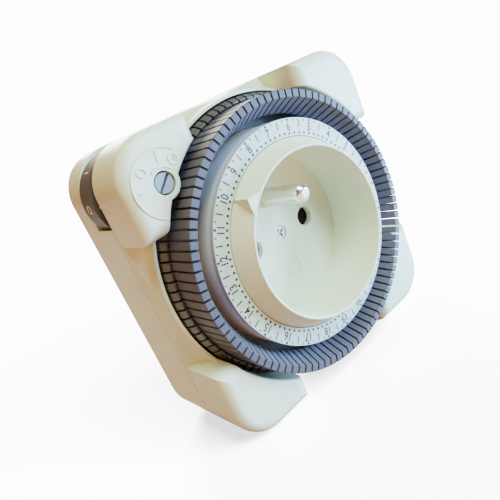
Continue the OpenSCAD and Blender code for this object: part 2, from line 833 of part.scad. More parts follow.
module contact_clip_line() {
    color("goldenrod") upright() translate([-pin_x, 0, 0]) contact_clip();
}

module contact_clip_neutral() {
    color("goldenrod") upright() translate([pin_x, 0, 0]) contact_clip();
}

// ---------------------------------------------------------------- plug

module plug_pin() {
    tip_r = 1.4;
    rotate_extrude() {
        translate([0, -pin_len + tip_r]) square([pin_shank_r, pin_len - tip_r + pin_in_z]);
        translate([0, -pin_len + tip_r]) square([pin_r, pin_len - tip_r]);
        translate([0, -pin_len + tip_r]) intersection() {
            union() {
                translate([0, -tip_r]) square([pin_r - tip_r, tip_r]);
                translate([pin_r - tip_r, 0]) circle(tip_r);
            }
            translate([0, -tip_r]) square([pin_r, tip_r]);
        }
    }
}

module plug_pin_line() {
    color("silver") upright() translate([-pin_x, 0, 0]) plug_pin();
}

module plug_pin_neutral() {
    color("silver") upright() translate([pin_x, 0, 0]) plug_pin();
}

module earth_clips() {
    low_z = 1;
    bulge_z = boss_h * 0.45;
    high_z = boss_h - 2;
    inner = [[clip_y, low_z], [clip_y + clip_bulge, low_z + 1], [clip_y + 1.3, bulge_z],
        [clip_y + clip_bulge, high_z - 2], [clip_y, high_z], [clip_y, bridge_z]];
    outer = [for (i = [len(inner) - 1:-1:0]) inner[i] + [clip_t, 0]];
    color("silver") upright() for (a = [0, 180]) rotate(a)
        rotate([90, 0, 90]) linear_extrude(clip_w, center = true) polygon(concat(inner, outer));
}

module earth_receptacle() {
    face_z = 0.8;
    color("goldenrod") upright() translate([0, earth_offset, 0]) difference() {
        translate([0, 0, face_z]) cylinder(r = earth_tube_r, h = bridge_z - face_z);
        translate([0, 0, -1]) cylinder(r = earth_r + 0.1, h = bridge_z - strip_t - 2.5);
    }
}

module earth_bridge() {
    reach = clip_y + clip_t;
    color("goldenrod") upright() translate([0, 0, bridge_z]) difference() {
        union() {
            translate([-clip_w / 2, -reach, 0]) cube([clip_w, 2 * reach, strip_t]);
            cylinder(r = post_r + 1.8, h = strip_t);
            translate([0, earth_offset, 0]) cylinder(r = earth_tube_r, h = strip_t);
        }
        translate([0, 0, -1]) cylinder(r = post_r + seat_gap, h = strip_t + 2);
    }
}

// Flat strip between two corners
module strip(x0, y0, x1, y1, z) {
    translate([x0, y0, z]) cube([x1 - x0, y1 - y0, strip_t]);
}

// From the line pin up into the housing and along the floor to the spring contact
module busbar_line() {
    floor_z = rear_floor_z + 0.1;
    half = strip_w / 2;
    color("darkgoldenrod") upright() {
        strip(-line_riser_x - strip_t, -half, pin_r - pin_x, half, pin_in_z);
        translate([-line_riser_x - strip_t, -half, pin_in_z])
            cube([strip_t, strip_w, bridge_z + strip_t - pin_in_z]);
        strip(bus_turn_x - strip_w, -half, -line_riser_x, half, bridge_z);
        translate([bus_turn_x - strip_t, -half, floor_z]) cube([strip_t, strip_w, bridge_z - floor_z + eps]);
        strip(bus_turn_x - strip_w, leaf_y, bus_turn_x, half, floor_z);
        strip(lever_x - leaf_w / 2, leaf_y, bus_turn_x, leaf_y + strip_w, floor_z);
        translate([lever_x - leaf_w / 2, leaf_y, floor_z]) cube([leaf_w, strip_t, leaf_z - floor_z]);
    }
}

// From the fixed contact over to the clip behind the line hole
module busbar_load() {
    run_z = bridge_z + 1;
    clip_side = -grip_half;
    color("darkgoldenrod") upright() {
        strip(fixed_leg_x, clip_side - strip_w, -pin_x + grip_w / 2, clip_side, run_z);
        strip(fixed_leg_x, contact_y - 0.4, fixed_leg_x + strip_w, clip_side, run_z);
    }
}

// From the neutral pin up to the side of the clip behind the neutral hole
module busbar_neutral() {
    half = strip_w / 2;
    color("darkgoldenrod") upright() {
        strip(pin_x - pin_r, -half, neutral_riser_x + strip_t, half, pin_in_z);
        translate([neutral_riser_x, -half, pin_in_z])
            cube([strip_t, strip_w, grip_z + 2 - pin_in_z]);
    }
}

// ---------------------------------------------------------------- drive

module motor_can() {
    color("silver") upright() translate([motor_x, motor_y, motor_z]) difference() {
        cylinder(r = motor_r, h = motor_h);
        translate([0, 0, motor_wall]) cylinder(r = motor_r - motor_wall, h = motor_h - 2 * motor_wall);
        translate([0, 0, motor_h / 2]) cylinder(r = 2, h = motor_h);
        translate([0, 0, -1]) cylinder(r = axle_r + running_gap, h = 3);
    }
}

module motor_coil() {
    color("chocolate") upright() translate([motor_x, motor_y, motor_z + motor_wall]) difference() {
        cylinder(r = motor_r - motor_wall - 0.1, h = motor_h - 2 * motor_wall - 0.1);
        translate([0, 0, -1]) cylinder(r = rotor_r + 0.5, h = motor_h + 2);
    }
}

module motor_rotor() {
    to_gear = atan2(gear_1_y - motor_y, gear_1_x - motor_x);
    color("dimgray") upright() translate([motor_x, motor_y, 0]) {
        translate([0, 0, motor_z + motor_wall + free_gap])
            cylinder(r = rotor_r, h = motor_h - 2 * motor_wall - 2 * free_gap);
        translate([0, 0, motor_z + 0.1]) cylinder(r = axle_r, h = layer_1_z - motor_z);
        translate([0, 0, layer_1_z])
            spur_gear(train_module, pinion_teeth, gear_t, mesh_phase(to_gear, pinion_teeth));
    }
}

module gear_plate() {
    axles = [[gear_1_x, gear_1_y], [gear_2_x, gear_2_y], [drive_x, drive_y]];
    leg_r = 1.6;
    color("silver") upright() difference() {
        union() {
            for (g = axles) translate([g[0], g[1], rear_floor_z]) cylinder(r = leg_r, h = plate_z - rear_floor_z + eps);
            for (g = axles) translate([g[0], g[1], plate_z]) cylinder(r = 4, h = plate_t);
            for (i = [0:1]) {
                span = axles[i + 1] - axles[i];
                translate([axles[i][0], axles[i][1], plate_z]) rotate(atan2(span[1], span[0]))
                    translate([0, -3.5, 0]) cube([norm(span), 7, plate_t]);
            }
        }
        translate([motor_x, motor_y, 0]) cylinder(r = motor_r + 0.3, h = seam_z);
        for (g = axles) translate([g[0], g[1], plate_z - 2])
            cylinder(r = axle_r + seat_gap, h = 10);
    }
}

module gear_shafts() {
    color("silver") upright() {
        for (g = [[gear_1_x, gear_1_y], [gear_2_x, gear_2_y]])
            translate([g[0], g[1], plate_z - 1.9])
                cylinder(r = axle_r, h = deck_z + deck_t / 2 - plate_z + 1.8);
        translate([drive_x, drive_y, plate_z - 1.9]) cylinder(r = axle_r, h = layer_3_z - plate_z + 1.9);
    }
}

module gear_bore(x, y) {
    difference() {
        children();
        translate([x, y, 0]) cylinder(r = axle_r + running_gap, h = seam_z);
    }
}

// Wheel in one layer with its pinion in the next
module cluster(x, y, z, wheel_phase, pinion_phase) {
    gear_bore(x, y) translate([x, y, 0]) {
        translate([0, 0, z]) spur_gear(train_module, wheel_teeth, gear_t, wheel_phase);
        translate([0, 0, z + gear_t - eps])
            spur_gear(train_module, pinion_teeth, layer_step + eps, pinion_phase);
    }
}

module gear_1() {
    to_motor = atan2(motor_y - gear_1_y, motor_x - gear_1_x);
    color("white") upright() cluster(gear_1_x, gear_1_y, layer_1_z,
        mesh_phase(to_motor, wheel_teeth, 1), mesh_phase(train_dir, pinion_teeth));
}

module gear_2() {
    to_drive = atan2(drive_y - gear_2_y, drive_x - gear_2_x);
    color("white") upright() cluster(gear_2_x, gear_2_y, layer_2_z,
        mesh_phase(train_dir + 180, wheel_teeth, 1), mesh_phase(to_drive, pinion_teeth));
}

module clutch_gear() {
    to_gear = atan2(gear_2_y - drive_y, gear_2_x - drive_x);
    color("white") upright() translate([drive_x, drive_y, layer_3_z]) difference() {
        spur_gear(train_module, wheel_teeth, gear_t, mesh_phase(to_gear, wheel_teeth, 1));
        translate([0, 0, -1]) cylinder(r = stem_pinion_r + running_gap, h = gear_t + 2);
    }
}

module dial_pinion() {
    pinion_z = dial_z + 0.1;
    stem_z = layer_3_z - 0.4;
    pinion_t = flange_z - free_gap - pinion_z;
    color("white") upright() translate([drive_x, drive_y, 0]) difference() {
        union() {
            translate([0, 0, stem_z]) cylinder(r = stem_pinion_r, h = pinion_z - stem_z + eps);
            translate([0, 0, pinion_z])
                spur_gear(dial_module, dial_pinion_teeth, pinion_t,
                    mesh_phase(drive_angle, dial_pinion_teeth));
        }
        translate([0, 0, stem_z - 1])
            cylinder(r = axle_r + running_gap, h = 1.3 + layer_3_z - stem_z);
    }
}

// ---------------------------------------------------------------- dial

module dial_section() {
    chamfer = 0.8;
    bevel_z = teeth_z - 1.4;
    cap_z = drum_top_z - drum_cap;
    polygon([[sleeve_r, flange_z], [sleeve_r + sleeve_wall, flange_z],
        [sleeve_r + sleeve_wall, cap_z], [drum_r - drum_wall, cap_z],
        [drum_r - drum_wall, flange_z], [base_ring_r, flange_z],
        [base_ring_r, bevel_z], [base_ring_r - chamfer, teeth_z], [teeth_in_r, teeth_z],
        [teeth_in_r, flange_top_z], [drum_r + 0.1, flange_top_z], [drum_r, drum_top_z],
        [sleeve_r, drum_top_z]]);
}

module internal_gear() {
    translate([0, 0, dial_z]) linear_extrude(flange_z - dial_z + eps) difference() {
        circle(gear_ring_r);
        rotate(drive_angle)
            polygon(gear_points(dial_module, dial_teeth, dial_pitch_r + 1.15 * dial_module,
                dial_pitch_r - 0.8 * dial_module, -backlash, 1));
    }
}

module dial_ring() {
    color("slategray") upright() difference() {
        union() {
            rotate_extrude($fn = 128) dial_section();
            internal_gear();
        }
        for (i = [0:tappet_count - 1]) rotate(midnight_angle + i * tappet_pitch) {
            translate([teeth_in_r - 0.5, -tappet_gap / 2, flange_top_z + 0.5])
                cube([3, tappet_gap, teeth_z]);
            rotate(tappet_pitch / 2)
                translate([stem_r - stem_t / 2 - slide_gap, -stem_w / 2 - slide_gap, flange_z - 1])
                    cube([stem_t + 2 * slide_gap, stem_w + 2 * slide_gap, flange_t + 2]);
        }
    }
}

module dial_scale() {
    color("whitesmoke") upright() translate([0, 0, drum_top_z]) difference() {
        cylinder(r = drum_r + 0.05, h = scale_t, $fn = 128);
        translate([0, 0, -1]) cylinder(r = scale_in_r, h = scale_t + 2, $fn = 128);
    }
}

// Head of a tappet in the radial plane
module tappet_section() {
    slope_z = crest_z - tappet_slope * (crest_r - tappet_in_r);
    polygon([[crest_r, crest_z], [tappet_r - 0.15, crest_z - 0.15], [tappet_r, crest_z - 0.35],
        [tappet_r, tappet_head_z], [stem_r - stem_t / 2 - 0.3, tappet_head_z],
        [stem_r - stem_t / 2 - 0.3, slope_z - 1.3], [tappet_in_r, slope_z - 1],
        [tappet_in_r, slope_z]]);
}

module tappet() {
    inner_w = tappet_in_r * tan(tappet_pitch / 2) * 2 - tappet_gap;
    outer_w = tappet_r * tan(tappet_pitch / 2) * 2 - tappet_gap;
    intersection() {
        rotate([90, 0, 0]) linear_extrude(4, center = true) tappet_section();
        translate([0, 0, flange_top_z]) linear_extrude(20)
            polygon([[tappet_in_r, -inner_w / 2], [tappet_r, -outer_w / 2],
                [tappet_r, outer_w / 2], [tappet_in_r, inner_w / 2]]);
    }
    translate([stem_r - stem_t / 2, -stem_w / 2, tappet_foot_z])
        cube([stem_t, stem_w, tappet_head_z - tappet_foot_z + 1]);
}

module tappet_group(group) {
    color("slategray") upright() for (i = [0:tappets_per_node - 1])
        rotate(midnight_angle + (group * tappets_per_node + i + 0.5) * tappet_pitch) tappet();
}

// ---------------------------------------------------------------- switch

module switch_lever() {
    tip_z = tappet_foot_z - free_gap;
    color("dimgray") upright() difference() {
        union() {
            translate([lever_x - lever_w / 2, lever_nose_y, lever_z - lever_h / 2])
                cube([lever_w, finger_y - lever_nose_y + lever_tail, lever_h]);
            translate([lever_x, lever_y, lever_z]) rotate([0, 90, 0])
                cylinder(r = lever_hub_r, h = lever_w, center = true);
            translate([finger_x, finger_y, lever_z]) rotate(finger_angle) rotate([90, 0, 0])
                linear_extrude(finger_t, center = true)
                    polygon([[-finger_foot_w / 2, 0], [finger_foot_w / 2, 0],
                        [finger_w / 2, tip_z - lever_z], [-finger_w / 2, tip_z - lever_z]]);
        }
        translate([lever_x, lever_y, lever_z]) rotate([0, 90, 0])
            cylinder(r = axle_r + running_gap, h = 2 * lever_w, center = true);
    }
}

module lever_pivot() {
    color("silver") upright() translate([lever_x, lever_y, lever_z]) rotate([0, 90, 0])
        cylinder(r = axle_r, h = lever_w + 2 * lever_pivot_reach, center = true);
}

module moving_contact() {
    color("goldenrod") upright() {
        translate([lever_x - leaf_w / 2, leaf_y, leaf_z])
            cube([leaf_w, leaf_end_y - leaf_y, leaf_t]);
        translate([lever_x, contact_y, leaf_z + leaf_t - eps])
            cylinder(r = contact_r, h = contact_h);
    }
}

module fixed_contact() {
    button_z = leaf_z + leaf_t + contact_h + contact_gap;
    arm_z = button_z + contact_h;
    color("goldenrod") upright() {
        translate([lever_x, contact_y, button_z]) cylinder(r = contact_r, h = contact_h);
        translate([lever_x - leaf_w / 2, contact_y - fixed_leg_w / 2, arm_z - eps])
            cube([fixed_leg_x - lever_x + leaf_w / 2, fixed_leg_w, leaf_t]);
        translate([fixed_leg_x - strip_t, contact_y - fixed_leg_w / 2, rear_floor_z])
            cube([strip_t, fixed_leg_w, arm_z - rear_floor_z + leaf_t - eps]);
    }
}

module override_wheel() {
    color("dimgray") upright() translate([wheel_x, wheel_y, 0]) difference() {
        union() {
            translate([0, 0, wheel_z]) cylinder(r = wheel_r, h = wheel_t);
            translate([0, 0, cam_z]) cylinder(r = cam_r, h = cam_t + eps);
            translate([0, 0, rear_floor_z + 0.6]) cylinder(r = journal_r, h = cam_z - rear_floor_z);
            translate([0, 0, wheel_z]) cylinder(r = shaft_r, h = pad_z - 0.3 - wheel_z);
        }
        rotate(shaft_slot_angle) translate([-shaft_d, -shaft_slot_w / 2, pad_z - shaft_slot_depth])
            cube([2 * shaft_d, shaft_slot_w, 2 * shaft_slot_depth]);
        for (a = [-1, 0, 1]) rotate(-45 + a * override_angle)
            translate([cam_r + 0.4, 0, cam_z - 1]) cylinder(r = 1.2, h = cam_t + 1);
    }
}

module detent_spring() {
    nose_r = 0.7;
    nose_d = cam_r + nose_r + 0.3;
    color("silver") upright() translate([wheel_x, wheel_y, 0]) rotate(-45)
        translate([nose_d, 0, rear_floor_z]) {
            cylinder(r = nose_r, h = cam_z + cam_t - 0.3 - rear_floor_z);
            translate([nose_r - 0.3, -5, 0]) cube([0.5, 10, cam_z + cam_t - 0.3 - rear_floor_z]);
        }
}

tappet_nodes = [for (i = [37:48]) NODES[i]];

rear_housing();
front_housing();
socket_collar();
socket_floor();
socket_screw();
earth_pin();
shutter();
shutter_spring();
contact_block();
contact_clip_line();
contact_clip_neutral();
plug_pin_line();
plug_pin_neutral();
earth_clips();
earth_receptacle();
earth_bridge();
busbar_line();
busbar_load();
busbar_neutral();
housing_screws();
motor_can();
motor_coil();
motor_rotor();
gear_plate();
gear_shafts();
gear_1();
gear_2();
clutch_gear();
dial_pinion();
dial_ring();
dial_scale();
switch_lever();
lever_pivot();
moving_contact();
fixed_contact();
override_wheel();
detent_spring();
for (group = [0:11])
    tappet_group(group);
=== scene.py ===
import json
import math

import bmesh
import bpy
from mathutils import Matrix, Vector

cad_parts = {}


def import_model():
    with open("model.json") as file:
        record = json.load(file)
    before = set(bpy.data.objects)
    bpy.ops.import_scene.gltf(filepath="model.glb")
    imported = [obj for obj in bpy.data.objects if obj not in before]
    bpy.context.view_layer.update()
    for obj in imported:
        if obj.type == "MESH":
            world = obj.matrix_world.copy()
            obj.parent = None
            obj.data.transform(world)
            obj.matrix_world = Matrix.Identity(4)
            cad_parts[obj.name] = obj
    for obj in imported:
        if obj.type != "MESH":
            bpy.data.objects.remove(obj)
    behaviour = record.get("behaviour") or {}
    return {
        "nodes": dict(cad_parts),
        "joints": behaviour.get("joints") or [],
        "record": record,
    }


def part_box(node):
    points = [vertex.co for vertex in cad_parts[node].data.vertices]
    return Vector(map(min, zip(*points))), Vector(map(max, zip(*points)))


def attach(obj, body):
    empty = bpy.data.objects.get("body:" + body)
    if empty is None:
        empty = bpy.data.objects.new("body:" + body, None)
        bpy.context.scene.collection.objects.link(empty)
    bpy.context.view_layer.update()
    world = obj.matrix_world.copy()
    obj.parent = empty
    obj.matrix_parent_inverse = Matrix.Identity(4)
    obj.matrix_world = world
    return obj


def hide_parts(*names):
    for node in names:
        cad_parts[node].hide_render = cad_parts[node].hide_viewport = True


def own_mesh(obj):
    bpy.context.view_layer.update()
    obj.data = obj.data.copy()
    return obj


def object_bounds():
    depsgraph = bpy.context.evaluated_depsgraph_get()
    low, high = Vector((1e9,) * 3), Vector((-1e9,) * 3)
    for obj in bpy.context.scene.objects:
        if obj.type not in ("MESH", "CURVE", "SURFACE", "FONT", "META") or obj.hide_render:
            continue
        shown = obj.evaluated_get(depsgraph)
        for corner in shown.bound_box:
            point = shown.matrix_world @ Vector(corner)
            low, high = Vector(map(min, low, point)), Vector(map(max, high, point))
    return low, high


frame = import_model()
cad_low, cad_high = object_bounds()

MM = 0.001
IMAGE_SIDE = 500


# ---------------------------------------------------------------- places read from the frame
# Metres throughout, in the CAD frame: x to the right, y to the back, z up.

def joint(name):
    return next(j for j in frame["joints"] if j["name"] == name)


SCALE_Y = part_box("dial_scale")[0].y
DRUM_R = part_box("dial_scale")[1].x
PAD_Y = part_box("front_housing")[0].y
WHEEL = Vector(joint("override_turn")["pos_m"])
wheel_low, wheel_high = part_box("override_wheel")
WHEEL_R = (wheel_high.x - wheel_low.x) / 2
SHAFT_R = 2.3 * MM
FLOOR_Z = cad_low.z


# ---------------------------------------------------------------- dial layout
HOURS = 24
HOUR_STEP = 360 / HOURS
MIDNIGHT_ANGLE = -13.8
PRINT_DEPTH = 0.03 * MM
PRINT_SUNK = 0.02 * MM

NUMBER_R = 25.1 * MM
NUMBER_SIZE = 2.75 * MM
NUMBER_SQUEEZE = 0.86
HOUR_DOT_R = 26.72 * MM
HOUR_DOT_SIZE = 0.33 * MM
HALF_STROKE = (24.9 * MM, 26.75 * MM)
STROKE_W = 0.3 * MM
LETTER_WEIGHT = 0.05 * MM
QUARTER_STROKE = (26.35 * MM, 26.9 * MM)
INNER_DOT_R = 23.65 * MM
INNER_DOT_SIZE = 0.33 * MM
DOT_SIDES = 12
HOUR_DOT_SIDES = 16
LETTER_CURVE_STEPS = 4
QUARTERS = 4
MERGE_DISTANCE = 0.0001 * MM


def dial_angle(hour):
    return math.radians(HOUR_STEP * hour + MIDNIGHT_ANGLE)


# ---------------------------------------------------------------- mesh helpers
RING_STEPS = 48


def face_frame(centre, outward, y):
    """Axes of flat work on a front face: x beside outward, y along outward, z to the front."""
    up = Vector((outward[0], 0, outward[1]))
    right = Vector((outward[1], 0, -outward[0]))
    m = Matrix.Identity(4)
    m.col[0].xyz = right
    m.col[1].xyz = up
    m.col[2].xyz = Vector((0, -1, 0))
    m.col[3].xyz = Vector((centre[0], y, centre[1]))
    return m


def polar(angle, r):
    return r * math.cos(angle), r * math.sin(angle)


def add_slab(bm, outline, bottom, top, place, wrap=None):
    """A closed flat piece with the given outline, between two heights, set at a place."""
    rings = []
    for h in (bottom, top):
        points = [Vector((x, y, h)) for x, y in outline]
        if wrap:
            points = [wrap(p) for p in points]
        rings.append([bm.verts.new(place @ p) for p in points])
    low, high = rings
    bm.faces.new(high)
    bm.faces.new(list(reversed(low)))
    for i in range(len(outline)):
        k = (i + 1) % len(outline)
        bm.faces.new((low[i], low[k], high[k], high[i]))


def add_ring(bm, r_out, r_in, bottom, top, place, start=0.0, end=360.0, steps=RING_STEPS,
             wrap=None):
    """A flat ring, or a part of one, cut into short closed segments."""
    full = abs(end - start) >= 360
    count = steps if full else steps + 1
    rings = []
    for i in range(count):
        a = math.radians(start + (end - start) * i / steps)
        corner = []
        for r, h in ((r_in, bottom), (r_out, bottom), (r_out, top), (r_in, top)):
            p = Vector((r * math.cos(a), r * math.sin(a), h))
            corner.append(bm.verts.new(place @ (wrap(p) if wrap else p)))
        rings.append(corner)
    for i in range(steps):
        one, two = rings[i], rings[(i + 1) % count]
        for k in range(4):
            n = (k + 1) % 4
            bm.faces.new((one[k], one[n], two[n], two[k]))
    if not full:
        bm.faces.new(rings[0])
        bm.faces.new(list(reversed(rings[-1])))


def disc(r, sides=DOT_SIDES):
    return [polar(2 * math.pi * i / sides, r) for i in range(sides)]


def bar(x0, y0, x1, y1):
    return [(x0, y0), (x1, y0), (x1, y1), (x0, y1)]


def add_text(bm, words, size, squeeze, depth, place):
    """Solid lettering, centred on its place."""
    curve = bpy.data.curves.new("lettering", "FONT")
    curve.body = words
    curve.size = size
    curve.extrude = depth / 2
    curve.offset = LETTER_WEIGHT
    curve.resolution_u = LETTER_CURVE_STEPS
    curve.align_x = "CENTER"
    curve.align_y = "CENTER"
    obj = bpy.data.objects.new("lettering", curve)
    bpy.context.scene.collection.objects.link(obj)
    graph = bpy.context.evaluated_depsgraph_get()
    mesh = bpy.data.meshes.new_from_object(obj.evaluated_get(graph))
    narrow = Matrix.Diagonal((squeeze, 1, 1, 1))
    lift = Matrix.Translation((0, 0, depth / 2 - PRINT_SUNK)) @ narrow
    mesh.transform(place @ lift)
    bm.from_mesh(mesh)
    bpy.data.objects.remove(obj)
    bpy.data.curves.remove(curve)
    bpy.data.meshes.remove(mesh)


def finish_piece(name, bm, material, body):
    """Makes the piece of a mesh, flat shaded, with its material and body."""
    bmesh.ops.remove_doubles(bm, verts=bm.verts, dist=MERGE_DISTANCE)
    bmesh.ops.recalc_face_normals(bm, faces=bm.faces)
    mesh = bpy.data.meshes.new(name)
    bm.to_mesh(mesh)
    bm.free()
    for polygon in mesh.polygons:
        polygon.use_smooth = False
    piece = bpy.data.objects.new(name, mesh)
    bpy.context.scene.collection.objects.link(piece)
    mesh.materials.append(material)
    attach(piece, body)
    return piece


# ---------------------------------------------------------------- materials
# A noise is its scale per metre, so that 1000 gives features of about a millimetre, and its
# detail, followed for metal by its roughness.
NOISE_USED = (0.3, 0.7)
CLOUD = (90, 4)
GLOSS = (260, 5)
GLOSS_SPREAD = 0.05
GRAIN = (1600, 3)
RIPPLE = (220, 2)
GRAIN_DEPTH = 0.004 * MM
BUMP_STRENGTH = 0.6
EDGE_R = 0.16 * MM
EDGE_SAMPLES = 6

METAL_LINES = (900, 4, 0.6)
METAL_DEPTH = 0.002 * MM
METAL_TONES = (0.92, 1.05)
METAL_GLOSS = (-0.06, 0.08)

COIL_TURNS = 900
COIL_WANDER = 0.6
COIL_GAP_TONE = 0.6
COIL_DEPTH = 0.05 * MM
COIL_ROUGHNESS = 0.35
COIL_METAL = 0.7

INK_COVER = (2200, 3)
INK_TONES = (0.8, 1.25)
INK_GLOSS = (700, 3)
INK_ROUGHNESS = (0.5, 0.65)

# Where one CAD node shows two materials, the border is a radius with a narrow blend.
BLEND = 0.05 * MM
SCALE_EDGE_R = DRUM_R - 2 * BLEND
DRUM_EDGE_R = DRUM_R + 1.4 * BLEND
# Painted shade on the drum: its colour darkens from the pale deep colour to the darker front colour
# over the fade depth; the scale's outer edge takes the same shaded front colour.
DRUM_SHADED_FRONT = (0.52, 0.48, 0.58)
DRUM_LIT_DEEP = (0.96, 0.92, 1.0)
DRUM_SHADE_FADE = 2.2 * MM
CLOUDY_SPREAD = 0.03


def node_tree(material):
    material.use_nodes = True
    tree = material.node_tree
    return tree, tree.nodes["Principled BSDF"]


def noise(tree, scale, detail, rough=0.5, stretch=None):
    """A noise in the piece's own coordinates, stretched along an axis where one is given."""
    place = tree.nodes.new("ShaderNodeTexCoord")
    source = place.outputs["Object"]
    if stretch:
        mapping = tree.nodes.new("ShaderNodeMapping")
        mapping.inputs["Scale"].default_value = stretch
        tree.links.new(source, mapping.inputs["Vector"])
        source = mapping.outputs["Vector"]
    texture = tree.nodes.new("ShaderNodeTexNoise")
    texture.inputs["Scale"].default_value = scale
    texture.inputs["Detail"].default_value = detail
    texture.inputs["Roughness"].default_value = rough
    tree.links.new(source, texture.inputs["Vector"])
    return texture.outputs["Fac"]


def map_range(tree, value, low, high):
    """Spreads the part of a noise that is mostly used between two values."""
    node = tree.nodes.new("ShaderNodeMapRange")
    node.inputs["From Min"].default_value = NOISE_USED[0]
    node.inputs["From Max"].default_value = NOISE_USED[1]
    node.inputs["To Min"].default_value = low
    node.inputs["To Max"].default_value = high
    tree.links.new(value, node.inputs["Value"])
    return node.outputs["Result"]


def mix_colours(tree, fac, dark, light):
    node = tree.nodes.new("ShaderNodeMix")
    node.data_type = "RGBA"
    node.inputs["A"].default_value = (*dark, 1)
    node.inputs["B"].default_value = (*light, 1)
    tree.links.new(fac, node.inputs["Factor"])
    return node.outputs["Result"]


def soft_edges(tree):
    """Rounds the shading of sharp edges, as on a moulding."""
    node = tree.nodes.new("ShaderNodeBevel")
    node.samples = EDGE_SAMPLES
    node.inputs["Radius"].default_value = EDGE_R
    return node.outputs["Normal"]


def add_bump(tree, shader, heights, distance, normal=None):
    total = heights[0]
    for extra in heights[1:]:
        plus = tree.nodes.new("ShaderNodeMath")
        plus.operation = "ADD"
        tree.links.new(total, plus.inputs[0])
        tree.links.new(extra, plus.inputs[1])
        total = plus.outputs["Value"]
    bump = tree.nodes.new("ShaderNodeBump")
    bump.inputs["Strength"].default_value = BUMP_STRENGTH
    bump.inputs["Distance"].default_value = distance
    tree.links.new(total, bump.inputs["Height"])
    if normal:
        tree.links.new(normal, bump.inputs["Normal"])
    tree.links.new(bump.outputs["Normal"], shader.inputs["Normal"])


def shade(colour, factor):
    return tuple(min(1.0, c * factor) for c in colour)


def moulded_plastic(name, colour, roughness, contrast=0.04, gloss=0.5):
    """Moulded plastic: faint cloudy colour, uneven gloss and a fine spark-eroded grain."""
    material = bpy.data.materials.new(name)
    tree, shader = node_tree(material)
    cloud = noise(tree, *CLOUD)
    tree.links.new(
        mix_colours(tree, cloud, shade(colour, 1 - contrast), shade(colour, 1 + contrast)),
        shader.inputs["Base Color"])
    sheen = map_range(tree, noise(tree, *GLOSS), roughness - GLOSS_SPREAD,
                      roughness + GLOSS_SPREAD)
    tree.links.new(sheen, shader.inputs["Roughness"])
    add_bump(tree, shader, [noise(tree, *GRAIN), noise(tree, *RIPPLE)], GRAIN_DEPTH,
             soft_edges(tree))
    shader.inputs["Specular IOR Level"].default_value = gloss
    return material


def within_radius(tree, radius, blend, centre=(0, 0)):
    """One inside a radius about an axis across the wall, falling to zero across the blend."""
    place = tree.nodes.new("ShaderNodeTexCoord")
    flatten = tree.nodes.new("ShaderNodeMapping")
    flatten.inputs["Scale"].default_value = (1, 0, 1)
    flatten.inputs["Location"].default_value = (-centre[0], 0, -centre[1])
    tree.links.new(place.outputs["Object"], flatten.inputs["Vector"])
    length = tree.nodes.new("ShaderNodeVectorMath")
    length.operation = "LENGTH"
    tree.links.new(flatten.outputs["Vector"], length.inputs[0])
    ramp = tree.nodes.new("ShaderNodeMapRange")
    ramp.inputs["From Min"].default_value = radius + blend
    ramp.inputs["From Max"].default_value = radius
    tree.links.new(length.outputs["Value"], ramp.inputs["Value"])
    return ramp.outputs["Result"]


def along_depth(tree, front, back):
    """Zero at the front depth, rising to one at the back depth."""
    place = tree.nodes.new("ShaderNodeTexCoord")
    split = tree.nodes.new("ShaderNodeSeparateXYZ")
    tree.links.new(place.outputs["Object"], split.inputs["Vector"])
    ramp = tree.nodes.new("ShaderNodeMapRange")
    ramp.inputs["From Min"].default_value = front
    ramp.inputs["From Max"].default_value = back
    tree.links.new(split.outputs["Y"], ramp.inputs["Value"])
    return ramp.outputs["Result"]


def two_tone(material, inside, radius, centre=(0, 0)):
    """Gives a moulded plastic another colour inside a radius."""
    tree, shader = node_tree(material)
    mix = tree.nodes.new("ShaderNodeMix")
    mix.data_type = "RGBA"
    tree.links.new(within_radius(tree, radius, BLEND, centre), mix.inputs["Factor"])
    tree.links.new(shader.inputs["Base Color"].links[0].from_socket, mix.inputs["A"])
    tree.links.new(inside(tree), mix.inputs["B"])
    tree.links.new(mix.outputs["Result"], shader.inputs["Base Color"])
    return material


def drum_colour(tree):
    """The polished drum's colour with painted shade: darker towards its front edge, lighter deeper
    in.
    """
    depth = along_depth(tree, SCALE_Y, SCALE_Y + DRUM_SHADE_FADE)
    return mix_colours(tree, depth, DRUM_SHADED_FRONT, DRUM_LIT_DEEP)


def cloudy(colour):
    """A function that gives a material this colour, faintly clouded."""
    def colour_nodes(tree):
        cloud = noise(tree, *CLOUD)
        return mix_colours(tree, cloud, shade(colour, 1 - CLOUDY_SPREAD),
                           shade(colour, 1 + CLOUDY_SPREAD))
    return colour_nodes


def metal(name, colour, roughness, stretch):
    """Metal with fine drawing lines along the direction that isn't stretched."""
    material = bpy.data.materials.new(name)
    tree, shader = node_tree(material)
    lines = noise(tree, *METAL_LINES, stretch)
    dark, light = (shade(colour, tone) for tone in METAL_TONES)
    tree.links.new(mix_colours(tree, lines, dark, light), shader.inputs["Base Color"])
    smooth, rough = (roughness + change for change in METAL_GLOSS)
    tree.links.new(map_range(tree, lines, smooth, rough), shader.inputs["Roughness"])
    add_bump(tree, shader, [lines], METAL_DEPTH)
    shader.inputs["Metallic"].default_value = 1.0
    return material


def wound_copper(name, colour):
    """Enamelled wire wound round the motor: fine turns across the axis."""
    material = bpy.data.materials.new(name)
    tree, shader = node_tree(material)
    place = tree.nodes.new("ShaderNodeTexCoord")
    wave = tree.nodes.new("ShaderNodeTexWave")
    wave.bands_direction = "Y"
    wave.inputs["Scale"].default_value = COIL_TURNS
    wave.inputs["Distortion"].default_value = COIL_WANDER
    tree.links.new(place.outputs["Object"], wave.inputs["Vector"])
    turns = wave.outputs["Fac"]
    tree.links.new(mix_colours(tree, turns, shade(colour, COIL_GAP_TONE), colour),
                   shader.inputs["Base Color"])
    add_bump(tree, shader, [turns], COIL_DEPTH)
    shader.inputs["Roughness"].default_value = COIL_ROUGHNESS
    shader.inputs["Metallic"].default_value = COIL_METAL
    return material


